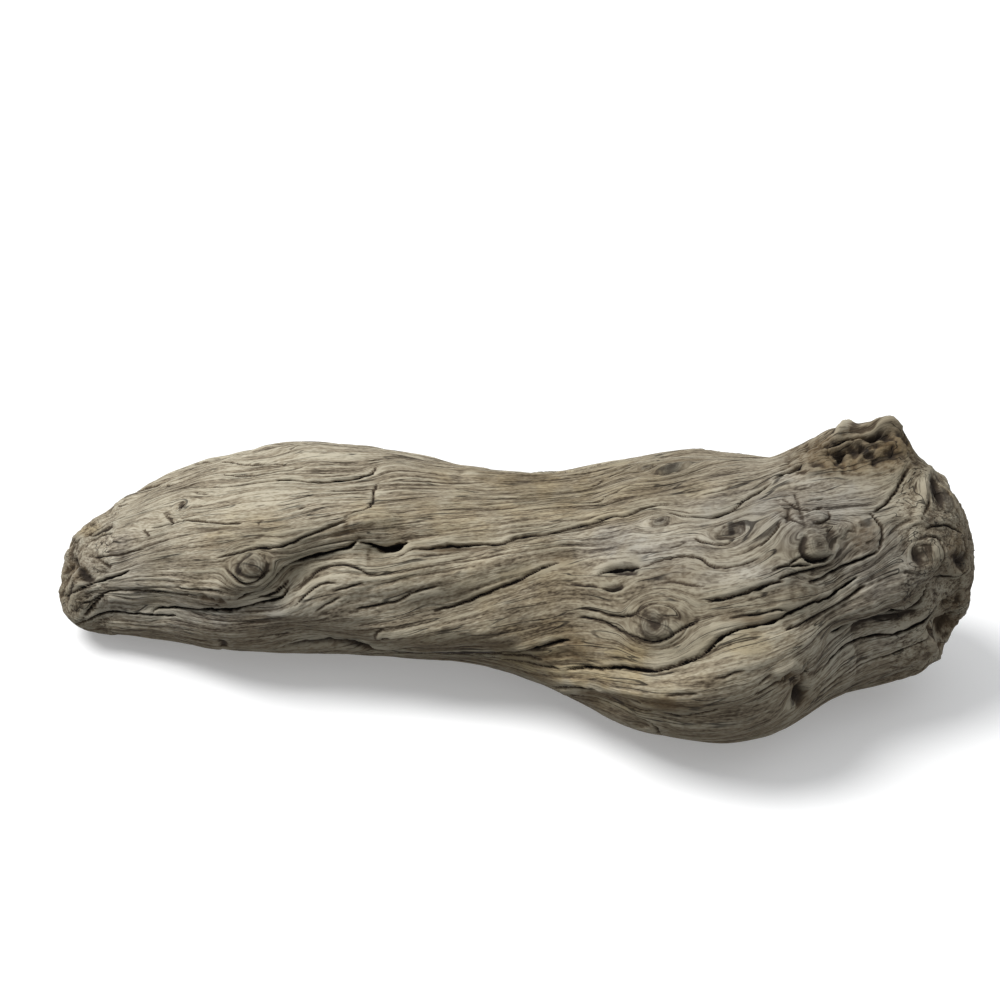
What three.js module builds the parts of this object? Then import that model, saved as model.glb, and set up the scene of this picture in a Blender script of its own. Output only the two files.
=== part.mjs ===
// A weathered piece of driftwood: one solid, gently bent length of trunk. One end is worn
// to a blunt, broken tip. The other swells into a heavy butt with burls, a broken crest
// on top and a foot that reaches forward.
//
// Units are millimetres and +Z is up. The log lies along X, its tip towards -X and its
// butt towards +X, and the foot reaches towards -Y. It lies on its worn underside, and
// the origin is on that surface, under the middle of its box.
import * as THREE from "three";

// ---------------------------------------------------------------- driving dimensions
const RINGS = 116; // rings of vertices between the two ends
const SPOKES = 48; // vertices round each ring
const PATH_STEPS = 10; // steps between two points of a relief path
const TWIST_FROM = -130; // the grain winds round the log between these two places on X
const TWIST_TO = 70;
const GRAIN_TURN = 52; // how far it winds, in degrees
const DEGREE = Math.PI / 180;

// Full cross-sections between the two rounded ends, each an ellipse, 40 to 60 apart.
// x, y, z: its middle. deep, high: its half sizes along Y and Z. Where z is less than high,
// the section reaches under the resting plane and is worn flat there.
const BODY = [
  { x: -295, y: 80, z: 40, deep: 56, high: 38 },
  { x: -250, y: 80, z: 54, deep: 78, high: 52 },
  { x: -200, y: 65, z: 68, deep: 98, high: 62 },
  { x: -150, y: 56, z: 76, deep: 96, high: 69 },
  { x: -90, y: 44, z: 75, deep: 92, high: 68 },
  { x: -30, y: 36, z: 69, deep: 92, high: 62 },
  { x: 20, y: 24, z: 66, deep: 110, high: 62 },
  { x: 70, y: 2, z: 68, deep: 142, high: 70 },
  { x: 120, y: -15, z: 75, deep: 150, high: 78 },
  { x: 165, y: -20, z: 78, deep: 132, high: 82 },
  { x: 210, y: -5, z: 80, deep: 96, high: 78 },
  { x: 250, y: 2, z: 83, deep: 82, high: 76 },
];
const TIP_REACH = 30; // how far the rounded tip reaches beyond the first full section
const TIP_RISE = -12; // how far the middle of the tip's end stands above that section's
const BUTT_REACH = 61; // how far the rounded butt reaches beyond the last full section
const BUTT_RISE = 8; // how far the middle of the butt's end stands above that section's
const END_STEPS = 4; // sections in each rounded end
const END_FLAT = 0.05; // the size of the last section of an end, next to a full one

// The sections of a rounded end: a quarter of an ellipse beyond a full section.
// way: -1 towards the tip, 1 towards the butt.
function roundedEnd(full, reach, rise, way) {
  const sections = [];
  for (let step = 1; step <= END_STEPS; step++) {
    const turn = (90 * DEGREE * step) / END_STEPS;
    const size = Math.max(END_FLAT, Math.cos(turn));
    const x = full.x + way * reach * Math.sin(turn);
    const z = full.z + rise * (1 - Math.cos(turn));
    sections.push({ x, y: full.y, z, deep: full.deep * size, high: full.high * size });
  }
  return sections;
}

const SECTIONS = [
  ...roundedEnd(BODY[0], TIP_REACH, TIP_RISE, -1).reverse(),
  ...BODY,
  ...roundedEnd(BODY[BODY.length - 1], BUTT_REACH, BUTT_RISE, 1),
];

// Relief that stands off the skin or sinks into it. path: places on the skin, each as
// [x, turn], where turn is the angle round the log in degrees, from 0 at the front over
// 90 at the top. reach: how far the relief spreads to each side of its path.
// rise: its height off the skin, less than 0 in a hollow.
const RELIEF = [
  // the broken crest on top of the butt, with a slab at its left and a knob at its right
  { path: [[212, 90], [246, 88]], reach: 24, rise: 13 },
  { path: [[208, 110], [242, 108]], reach: 24, rise: 14 },
  { path: [[213, 100], [224, 99]], reach: 11, rise: 8 },
  { path: [[245, 98]], reach: 15, rise: 11 },
  { path: [[222, 82], [248, 79]], reach: 12, rise: -4 },
  // the burl on the front of the butt, and the knots round it
  { path: [[180, 60], [222, 50]], reach: 26, rise: 8 },
  { path: [[281, 70]], reach: 15, rise: 7 },
  { path: [[137, 67]], reach: 18, rise: -5 },
  { path: [[86, 34]], reach: 14, rise: 5 },
  // the long fold that winds down from the broken stub to the tip
  { path: [[-290, 350], [-244, 1], [-201, 2], [-171, 4], [-155, 13]], reach: 11, rise: -7 },
  { path: [[-150, 17], [-141, 24], [-116, 32], [-88, 37]], reach: 11, rise: -7 },
  { path: [[-260, 16], [-232, 16], [-195, 14], [-165, 23], [-146, 35]], reach: 13, rise: 5 },
  { path: [[-104, 47], [-92, 47]], reach: 11, rise: 6 },
  { path: [[-176, 26]], reach: 12, rise: 3 },
  // folds across the foot
  { path: [[32, 358], [86, 14], [122, 25], [163, 29], [206, 29]], reach: 12, rise: -6 },
  { path: [[60, 0], [100, 3], [140, 14], [180, 16]], reach: 18, rise: 6 },
  { path: [[43, 29], [70, 26], [88, 25], [111, 33]], reach: 10, rise: -4 },
  { path: [[208, 7], [234, 6], [258, 8], [270, 17], [286, 19]], reach: 11, rise: -9 },
  { path: [[207, 20], [238, 17], [262, 24]], reach: 13, rise: 5 },
  { path: [[195, 353], [208, 356], [227, 356], [253, 355], [273, 3], [294, 8]], reach: 9, rise: -5 },
  { path: [[179, 349]], reach: 12, rise: -6 },
  // the notch between the end of the butt and the lobe under it
  { path: [[296, 345], [294, 320]], reach: 14, rise: -18 },
  { path: [[260, 336], [272, 336]], reach: 13, rise: 3 },
  // grain that runs slantwise over the middle
  { path: [[-100, 2], [-53, 8], [-14, 27], [25, 51], [60, 68]], reach: 10, rise: -4 },
  { path: [[-92, 40], [-43, 44], [16, 65], [54, 77], [102, 80]], reach: 10, rise: -4 },
  { path: [[110, 79], [129, 76], [159, 84]], reach: 10, rise: -4 },
  { path: [[-70, 26], [-14, 42], [25, 62]], reach: 13, rise: 4 },
  // the undercut along the lower front edge
  { path: [[-150, 336], [-110, 333], [-64, 326], [-4, 342]], reach: 12, rise: -8 },
  { path: [[-80, 346], [-20, 0]], reach: 14, rise: 4 },
  { path: [[53, 345], [90, 348], [125, 350]], reach: 12, rise: -6 },
  // the tip
  { path: [[-318, 52]], reach: 14, rise: -8 },
  { path: [[-322, 20]], reach: 8, rise: 4 },
  { path: [[-290, 76], [-230, 66], [-170, 60]], reach: 16, rise: -3 },
  // long flutes and ribs down the back
  { path: [[-280, 140], [-190, 158], [-70, 150], [50, 160], [130, 150]], reach: 20, rise: 7 },
  { path: [[-240, 186], [-110, 178], [10, 188], [90, 182]], reach: 17, rise: -8 },
  { path: [[-210, 212], [-60, 205], [40, 214]], reach: 20, rise: 6 },
  { path: [[-150, 118], [-40, 124], [70, 132], [170, 122]], reach: 15, rise: -6 },
  { path: [[-30, 106], [60, 110], [150, 104]], reach: 14, rise: 4 },
  { path: [[-262, 118], [-190, 124]], reach: 18, rise: -5 },
  // the stub of a branch, a burl and a heel at the back of the butt
  { path: [[168, 158]], reach: 20, rise: 14 },
  { path: [[168, 158]], reach: 8, rise: -9 },
  { path: [[110, 206], [195, 200]], reach: 30, rise: 12 },
  { path: [[236, 150], [262, 168]], reach: 22, rise: 9 },
  { path: [[206, 176], [250, 190]], reach: 15, rise: -8 },
  { path: [[-24, 160]], reach: 14, rise: 7 },
];

const sectionCentres = new THREE.CatmullRomCurve3(
  SECTIONS.map((s) => new THREE.Vector3(s.x, s.y, s.z)),
);
const sectionSizes = new THREE.CatmullRomCurve3(
  SECTIONS.map((s) => new THREE.Vector3(s.deep, s.high, 0)),
);

// A point of the plain log, with no relief and not worn flat yet.
// along: 0 at the tip, 1 at the butt. turn: degrees round the log.
function plainPoint(along, turn) {
  const point = sectionCentres.getPoint(along);
  const size = sectionSizes.getPoint(along);
  point.y -= size.x * Math.cos(turn * DEGREE);
  point.z += size.y * Math.sin(turn * DEGREE);
  return point;
}

// The direction out of the plain log at one of its points.
function outward(along, turn) {
  const step = 0.002;
  const down = plainPoint(along, turn - 1);
  const up = plainPoint(along, turn + 1);
  const back = plainPoint(Math.max(0, along - step), turn);
  const on = plainPoint(Math.min(1, along + step), turn);
  return on.sub(back).cross(up.sub(down)).normalize();
}

// How far along the log, from 0 to 1, the section at x is.
function alongAt(x) {
  let low = 0;
  let high = 1;
  for (let halving = 0; halving < 24; halving++) {
    const middle = (low + high) / 2;
    if (sectionCentres.getPoint(middle).x < x) low = middle;
    else high = middle;
  }
  return (low + high) / 2;
}

// The points in space that a relief's path runs through.
function tracePath(path) {
  const places = path.map(([x, turn]) => plainPoint(alongAt(x), unwrap(turn)));
  if (places.length === 1) return places;
  return new THREE.CatmullRomCurve3(places).getPoints(PATH_STEPS * (places.length - 1));
}

// The same angle, from -90 to 270, so that a path can pass the front without a jump.
function unwrap(turn) {
  return turn > 270 ? turn - 360 : turn;
}

const reliefTraces = RELIEF.map((r) => ({ ...r, points: tracePath(r.path) }));

// The height of all the relief together at a point of the plain log.
function reliefAt(point) {
  let height = 0;
  for (const r of reliefTraces) {
    const away = Math.min(...r.points.map((p) => p.distanceTo(point))) / r.reach;
    height += r.rise * Math.exp(-away * away);
  }
  return height;
}

// How far the grain has wound round the log at a place along it, in degrees.
function grainTurn(along) {
  const x = sectionCentres.getPoint(along).x;
  return GRAIN_TURN * THREE.MathUtils.smoothstep(x, TWIST_FROM, TWIST_TO);
}

// A point of the finished skin.
function skinPoint(along, turn) {
  const point = plainPoint(along, turn);
  point.addScaledVector(outward(along, turn), reliefAt(point));
  point.z = Math.max(0, point.z);
  return point;
}

// The closed skin: rings of vertices along the log, and a point at each end.
function closedSkin() {
  const positions = [];
  const index = [];
  for (let ring = 1; ring < RINGS; ring++) {
    const along = ring / RINGS;
    for (let spoke = 0; spoke < SPOKES; spoke++)
      positions.push(...skinPoint(along, (360 * spoke) / SPOKES + grainTurn(along)));
  }
  const tip = positions.length / 3;
  const butt = tip + 1;
  positions.push(...sectionCentres.getPoint(0), ...sectionCentres.getPoint(1));

  const vertex = (ring, spoke) => (ring - 1) * SPOKES + (spoke % SPOKES);
  for (let ring = 1; ring < RINGS - 1; ring++)
    for (let spoke = 0; spoke < SPOKES; spoke++) {
      const here = vertex(ring, spoke);
      const above = vertex(ring, spoke + 1);
      const next = vertex(ring + 1, spoke);
      const across = vertex(ring + 1, spoke + 1);
      index.push(here, next, across, here, across, above);
    }
  for (let spoke = 0; spoke < SPOKES; spoke++) {
    index.push(tip, vertex(1, spoke), vertex(1, spoke + 1));
    index.push(butt, vertex(RINGS - 1, spoke + 1), vertex(RINGS - 1, spoke));
  }

  const skin = new THREE.BufferGeometry();
  skin.setAttribute("position", new THREE.Float32BufferAttribute(positions, 3));
  skin.setIndex(index);
  return skin;
}

// Moves the skin so that the middle of its box stands over the origin.
function standOverOrigin(skin) {
  skin.computeBoundingBox();
  const middle = skin.boundingBox.getCenter(new THREE.Vector3());
  skin.translate(-middle.x, -middle.y, -skin.boundingBox.min.z);
  return skin;
}

const wood = new THREE.MeshStandardMaterial({
  color: 0x9c9282,
  roughness: 0.85,
  metalness: 0,
});
const driftwood = new THREE.Mesh(standOverOrigin(closedSkin()), wood);
driftwood.name = "driftwood";

const log = new THREE.Group();
log.add(driftwood);
export default log;
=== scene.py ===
# A weathered piece of driftwood: the fine skin, cracks, knots, grain and finish of the log, round its solid.
#
# Lengths are in metres, except the places and sizes of the marks on the wood, which are in millimetres.
# The hidden knots are the one exception: their places are metres along the log and degrees round it.
import math
from collections import namedtuple

import bpy
import numpy as np
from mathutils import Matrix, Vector
from mathutils.bvhtree import BVHTree


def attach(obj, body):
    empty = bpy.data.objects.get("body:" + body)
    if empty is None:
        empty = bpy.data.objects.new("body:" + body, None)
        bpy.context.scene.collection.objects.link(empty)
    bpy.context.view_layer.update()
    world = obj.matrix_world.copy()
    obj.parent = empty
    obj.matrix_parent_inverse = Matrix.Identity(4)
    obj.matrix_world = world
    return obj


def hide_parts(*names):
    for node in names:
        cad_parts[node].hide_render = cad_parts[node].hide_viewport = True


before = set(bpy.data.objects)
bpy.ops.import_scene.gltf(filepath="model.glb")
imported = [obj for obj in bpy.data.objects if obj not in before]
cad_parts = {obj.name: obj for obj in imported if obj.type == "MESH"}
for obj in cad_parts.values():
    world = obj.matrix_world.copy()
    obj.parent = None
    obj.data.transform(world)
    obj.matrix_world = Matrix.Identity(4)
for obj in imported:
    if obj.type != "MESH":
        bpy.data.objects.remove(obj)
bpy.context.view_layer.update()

bl_info = {
    "name": "Driftwood",
    "version": (1, 0, 0),
    "blender": (4, 5, 0),
    "location": "View3D > Sidebar > Driftwood",
    "description": "Builds a weathered piece of driftwood round its solid, on a pale studio floor",
    "category": "Add Mesh",
}

MM = 0.001

# ------------------------------------------------------------------ marks on the wood
# Places are (x, h) in millimetres on the viewing plane. That plane stands through the middle of the
# log, square to the line of sight: x runs to the right along the log, h runs up, and both are 0 at
# the camera's target. Each place is carried from the eye onto the solid.

# A crack runs along its path from left to right. wide is half its width and deep its depth. step is
# how far the wood under it stands back, and sets its painted shadow; over how far the wood above it hangs
# over.
# grain is False where it breaks across the fibres instead of running with them.
Crack = namedtuple("Crack", "path wide deep step over grain", defaults=(0.0, 0.0, True))

TIP_CRACKS = [
    Crack([(-301, 25), (-290, 31), (-281, 37), (-271, 42), (-262, 45)], 0.7, 2.5),
    Crack([(-285, 29), (-278, 33), (-271, 34)], 2.1, 5),
    Crack([(-284, 35), (-275, 40)], 1.2, 3),
    Crack([(-274, 53), (-265, 53.5), (-257, 55), (-251, 58)], 0.8, 3),
    Crack([(-256, 64), (-246, 66), (-237, 67), (-228, 68)], 0.9, 3, 1),
    Crack([(-284, 17), (-271, 18), (-260, 21), (-248, 24)], 0.7, 2),
    Crack([(-308, -9), (-300, -7), (-291, -3), (-284, 0), (-274, 3), (-265, 6), (-259, 9)], 1.2, 3, 1),
    Crack([(-293, -15), (-285, -13), (-279, -8), (-271, -5.5), (-258, -6), (-244, -6.5), (-219, -8.5)],
          0.9, 3, 1),
    Crack([(-300, -28), (-293, -28), (-285, -25), (-278, -21.5), (-268, -20), (-258, -21), (-229, -22.5)],
          1.5, 6, 2, 0.8),
    Crack([(-244, -21), (-242, -18), (-236, -16.5), (-222, -17), (-208, -18), (-192, -18.5), (-180, -16),
           (-168, -13), (-160, -11), (-155, -7), (-152, -2)], 1.6, 7, 3, 1.2),
    Crack([(-245, 38), (-235, 40), (-228, 42), (-219, 43), (-207, 42), (-193, 41), (-183, 41)], 0.8, 3),
    Crack([(-222, 76), (-212, 79.5), (-202, 83), (-192, 82.5), (-180, 81), (-165, 81.5), (-152, 81)], 0.8, 3),
    Crack([(-197, 75), (-185, 73), (-172, 74), (-162, 75.5), (-152, 77), (-141, 79)], 0.7, 2.5),
    Crack([(-215, 61), (-205, 60)], 0.7, 2),
    Crack([(-229, -3), (-220, -4.5), (-210, -5), (-200, -5), (-194, -8)], 0.7, 2),
    Crack([(-172, -38), (-163, -36), (-150, -33.5)], 1.2, 3),
]

FOLD_CRACKS = [
    Crack([(-186, -11), (-177, -8), (-168, -5), (-160, 2), (-154, 9), (-147, 13.5), (-138, 17), (-128, 20),
           (-117, 22.5), (-109, 25), (-104, 29)], 1.9, 8, 3, 1.5),
    Crack([(-172, -11), (-164, -9), (-157, -4), (-151, 2)], 1.0, 4),
    Crack([(-194, 10), (-190, 6), (-185, 1), (-180, -1), (-174, 0), (-169, 4), (-164, 9)], 1.0, 4),
    Crack([(-200, 17), (-188, 20), (-176, 23), (-165, 24), (-155, 25), (-147, 28), (-138, 32), (-128, 36),
           (-118, 40), (-112, 42)], 0.9, 3.5, 1),
    Crack([(-148, -17), (-143, -11), (-137, -6), (-131, -2), (-124, 0), (-118, -1)], 0.7, 2.5),
    Crack([(-146, -2), (-140, 3), (-133, 9), (-127, 12), (-118, 13.5), (-110, 13), (-103, 10), (-96, 6),
           (-90, 7)], 0.8, 2.5, 1),
    Crack([(-103, 27), (-97, 27.5), (-91, 25), (-85, 23.5), (-79, 25), (-70, 28)], 2.5, 9, 2, 1.5),
    Crack([(-172, 32), (-166, 32)], 1.0, 2.5),
    Crack([(-172, 39), (-171, 42), (-168, 42.5)], 0.7, 2, grain=False),
]

MIDDLE_CRACKS = [
    Crack([(-160, 71), (-148, 71), (-136, 70), (-122, 70), (-110, 71), (-100, 72.5), (-95, 74), (-91, 80)],
          1.1, 4, 1),
    Crack([(-99, 83), (-89, 84)], 0.8, 2.5),
    Crack([(-112, 43), (-112, 45), (-106, 48), (-99, 50), (-95, 53), (-93, 58), (-93, 63), (-90, 69)],
          0.8, 3, grain=False),
    Crack([(-145, 50), (-139, 53)], 1.3, 3),
    Crack([(-151, 91), (-146, 94), (-138, 96)], 0.8, 2.5),
    Crack([(-122, -6), (-112, -3.5), (-100, 0)], 0.7, 2),
    Crack([(-133, -20), (-124, -14), (-116, -10)], 0.6, 2),
    Crack([(-106, -18), (-95, -16), (-85, -14), (-78, -13), (-68, -8), (-58, -4.5), (-50, -2)], 0.7, 2.5),
    Crack([(-78, 19.5), (-73, 21), (-67, 24), (-56, 24.5), (-45, 26), (-33, 26), (-22, 27), (-12, 27),
           (-5, 28), (2, 31), (12, 32.5), (24, 34), (36, 37), (48, 40), (58, 43), (68, 46), (79, 47),
           (89, 51), (99, 53), (108, 53)], 1.0, 4, 1.5),
    Crack([(-53, -19), (-43, -16.5), (-32, -13), (-22, -9), (-12, -4.5), (0, 0), (10, 4.5), (19, 9.5),
           (26, 12.5), (33, 14)], 1.0, 4, 1),
    Crack([(-92, -38), (-91, -34), (-87, -31)], 0.9, 2.5, grain=False),
    Crack([(-92, -38), (-82, -38)], 0.8, 2),
    Crack([(-150, -40), (-135, -37), (-121, -36), (-110, -38), (-99, -41), (-93, -45), (-82, -47.5),
           (-60, -49), (-40, -50), (-20, -50), (0, -48), (10, -46.5), (18, -44), (26, -42), (34, -39.5),
           (40, -39)], 1.7, 7, 4, 1.5),
    Crack([(-124, -39), (-112, -41), (-100, -43)], 2.8, 7),
    Crack([(43, 54), (52, 54), (60, 55), (65, 59), (72, 62), (80, 66), (90, 66.5)], 0.7, 2.5),
    Crack([(50, 65), (57, 66.5), (64, 71), (74, 76), (82, 80)], 0.6, 2),
]

FOOT_CRACKS = [
    Crack([(57, 5), (62, 8.5), (68, 11), (76, 12), (84, 11.5), (88, 11)], 2.3, 9, 2, 1),
    Crack([(88, 11), (93, 12.5), (98, 15.5), (106, 17), (117, 19.5), (124, 19), (130, 17.5), (134, 14),
           (140, 12), (150, 12), (160, 14), (170, 18)], 0.8, 3, 1),
    Crack([(40, 0), (48, -1), (56, -2), (61, -2.5)], 0.7, 2),
    Crack([(60, -2.5), (66, -3.5), (71, -3), (75, 0)], 1.9, 6, 1),
    Crack([(108, 48), (115, 46), (125, 45), (136, 45), (145, 47), (152, 50.5), (160, 57), (170, 63),
           (177, 68.5)], 1.0, 4, 1),
    Crack([(124, 31), (130, 29), (138, 27), (146, 27), (153, 30)], 0.8, 3, 1),
    Crack([(106, 24), (112, 25), (119, 28.5)], 0.8, 2.5),
    Crack([(130, 60), (138, 62), (145, 64), (150, 66)], 0.9, 3),
    Crack([(47, -17), (58, -18.5), (66, -21.5), (76, -22.5), (84, -21), (90, -17), (96, -14.5), (101, -14)],
          0.9, 3, 1),
    Crack([(45, -23), (55, -24), (65, -27.5), (74, -32), (84, -36.5), (92, -39.5), (99, -40.5), (106, -38),
           (113, -33), (120, -29.5), (128, -25.5)], 1.0, 3, 1),
    Crack([(102, 0.5), (110, 1), (118, -0.5), (126, -2), (133, -3.5)], 0.7, 2.5),
    Crack([(38, -59), (50, -57.5), (60, -58), (70, -57), (80, -57.5), (90, -58.5), (99, -59), (108, -56.5),
           (117, -53.5), (126, -49.5), (133, -45), (138, -41), (143, -37), (152, -32.5), (162, -30),
           (174, -27.5), (182, -24), (188, -20.5), (196, -17), (204, -13.5), (214, -10.5), (222, -5),
           (229, 0), (235, 4)], 1.6, 7, 1.8, 0.5),
    Crack([(148, -24), (158, -22), (168, -21.5), (178, -19), (188, -19)], 1.0, 3),
    Crack([(133, -13), (141, -11.5), (150, -9), (160, -6), (168, -3.5), (178, -0.5), (186, 1)], 1.4, 5, 2),
    Crack([(181, 2), (190, 5.5), (200, 8), (210, 10), (218, 12.5)], 1.0, 4, 1),
    Crack([(187, -31), (193, -29), (200, -26), (208, -22), (216, -18), (223, -14.5), (229, -10), (235, -5),
           (241, -1.5)], 1.2, 4, 1.5),
    Crack([(165, -76), (172, -73), (178, -69.5), (186, -66)], 1.0, 3.5),
    Crack([(168, -70), (173, -66), (178, -62)], 0.9, 3),
    Crack([(197, -62), (200, -60.5), (204, -61.5)], 0.9, 2.5),
    Crack([(30, -72), (44, -72), (56, -73.5), (67, -76.5), (77, -79.5), (88, -82)], 1.8, 5, 3),
    Crack([(30, -77), (46, -79), (60, -82), (70, -86), (80, -90), (90, -94), (98, -98), (102, -103)],
          1.5, 5, 2),
    Crack([(83, -86), (90, -88), (98, -87.5), (106, -89), (113, -91), (121, -91), (131, -89), (141, -86)],
          1.0, 4, 1),
    Crack([(104, -77), (115, -76.5), (128, -76)], 0.6, 2),
    Crack([(136, -66), (146, -64), (153, -61), (160, -60.5)], 0.7, 2),
]

BUTT_CRACKS = [
    Crack([(202, 0.5), (210, 3), (217, 7), (226, 11.5), (236, 15.5), (245, 19), (250, 22)], 1.3, 5, 2),
    Crack([(250, 22), (252, 27), (253, 34), (252, 40), (248, 44.5), (244, 48.5)], 1.0, 4),
    Crack([(177, 8), (185, 11), (195, 12), (205, 12)], 1.0, 4),
    Crack([(187, 11), (193, 15), (200, 19)], 0.8, 3),
    Crack([(199, 20), (202, 16), (207, 14.5), (213, 15.5), (217, 19)], 2.3, 6),
    Crack([(169, 25), (175, 31), (180, 36), (183, 42)], 1.0, 4),
    Crack([(247, 49), (253, 53), (258, 58), (263, 65), (267, 72), (270, 78)], 1.1, 5, 1),
    Crack([(178, 71), (184, 75), (191, 78), (200, 83)], 1.8, 5, 1),
    Crack([(182, 78.5), (190, 82), (198, 85.5)], 1.4, 4),
    Crack([(218, -34), (225, -31), (233, -27), (241, -25), (250, -22.5), (258, -20), (268, -19), (275, -15),
           (280, -10), (283, -4), (285, 0)], 2.3, 9, 6, 2),
    Crack([(285, 0), (288, 3), (294, 4), (301, 3), (307, 4.5), (312, 9)], 1.2, 4, 2),
    Crack([(212, -60), (216, -55), (222, -48.5), (228, -43), (235, -40), (243, -38), (251, -36.5), (261, -36),
           (268, -33), (275, -29.5), (282, -26), (288, -22), (294, -15), (300, -10), (306, -6), (311, -3)],
          1.5, 6, 2.5, 1),
    Crack([(230, -63), (238, -59), (248, -55), (258, -52), (268, -48), (278, -44), (285, -41), (290, -38)],
          1.0, 4, 1),
    Crack([(207, -74), (212, -70), (217, -66), (223, -61), (231, -55)], 0.7, 3),
    Crack([(282, 35), (284, 38), (290, 39.5), (300, 38.5), (307, 34)], 0.9, 3, 1),
    Crack([(284, 32), (290, 31), (293, 27), (294, 18), (291, 9), (287, 5)], 1.0, 3.5, grain=False),
    Crack([(270, 35), (273, 38), (278, 39.5)], 0.7, 2.5),
    Crack([(276, 4), (279, 8.5)], 1.2, 3, grain=False),
    Crack([(278, 40), (280, 46), (283, 51), (285, 58), (285, 67)], 0.7, 2.5, grain=False),
    Crack([(210, 92), (220, 93), (228, 96.5), (235, 98.5), (242, 100)], 1.2, 5, 1.5),
    Crack([(241, 99), (248, 101.5), (254, 103)], 3.2, 12),
    Crack([(246, 88), (248, 92), (249, 97)], 0.9, 3, grain=False),
    Crack([(259, 88), (260, 93), (263, 98)], 0.8, 3, grain=False),
    Crack([(222, 80), (225, 87), (228, 93)], 0.9, 3, grain=False),
    Crack([(200, 55.5), (206, 57), (214, 57.5)], 0.9, 3, grain=False),
    Crack([(201, 47.5), (206, 50), (212, 52.5)], 0.9, 3, grain=False),
    Crack([(206, 41), (212, 41), (217, 45), (216, 50)], 0.8, 2.5, grain=False),
    Crack([(214, 35), (220, 35.5)], 0.8, 2.5),
    Crack([(229, 35.5), (237, 34.5)], 0.8, 2.5),
]

CRACKS = TIP_CRACKS + FOLD_CRACKS + MIDDLE_CRACKS + FOOT_CRACKS + BUTT_CRACKS

# A knot parts the fibres and shows rings. at: its place. size: its radius. rise: how far it stands
# off the skin. pit: how deep its heart has rotted. dark: how dark it is, from 0 to 1.
Knot = namedtuple("Knot", "at size rise pit dark")

KNOTS = [
    Knot((-176, 12), 9, 2, 1, 0.5),
    Knot((-95, 38), 12, 3, 0, 0.15),
    Knot((-224, 52), 3.5, 0, 1.5, 0.7),
    Knot((-295, 9), 3.5, 0, 4, 0.8),
    Knot((-288, 5), 3, 0, 3.5, 0.8),
    Knot((102, 42), 6.5, 1.5, 1.5, 0.7),
    Knot((92, 79), 4.5, 0.5, 1, 0.7),
    Knot((110, 79), 8, 0.8, 0.5, 0.35),
    Knot((150, 36), 8, -2, 1, 0.6),
    Knot((98, -28), 10, 2, 1, 0.6),
    Knot((208, 25), 10, 3.5, 0.5, 0.35),
    Knot((224, 35), 5, 1.6, 1, 0.3),
    Knot((209, 46), 5.5, 2, 0, 0.1),
    Knot((295, 62), 12, -1, 3, 0.8),
    Knot((275, 28), 4.5, 1, 0.3, 0.1),
    Knot((280, 20), 6, -1, 1.5, 0.5),
    Knot((308, 15), 6.5, 0, 3, 0.8),
    Knot((246, -14), 3.5, 0.8, 0.3, 0.1),
    Knot((250, 2), 5, 0.5, 0.5, 0.15),
    Knot((196, -79), 5, -1, 6, 0.9),
]

# A swell is a ridge along its path, or a hollow where rise is below 0. wide: half its width.
# dark: how much painted shade is laid along it.
Swell = namedtuple("Swell", "path wide rise dark", defaults=(0.0,))

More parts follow.
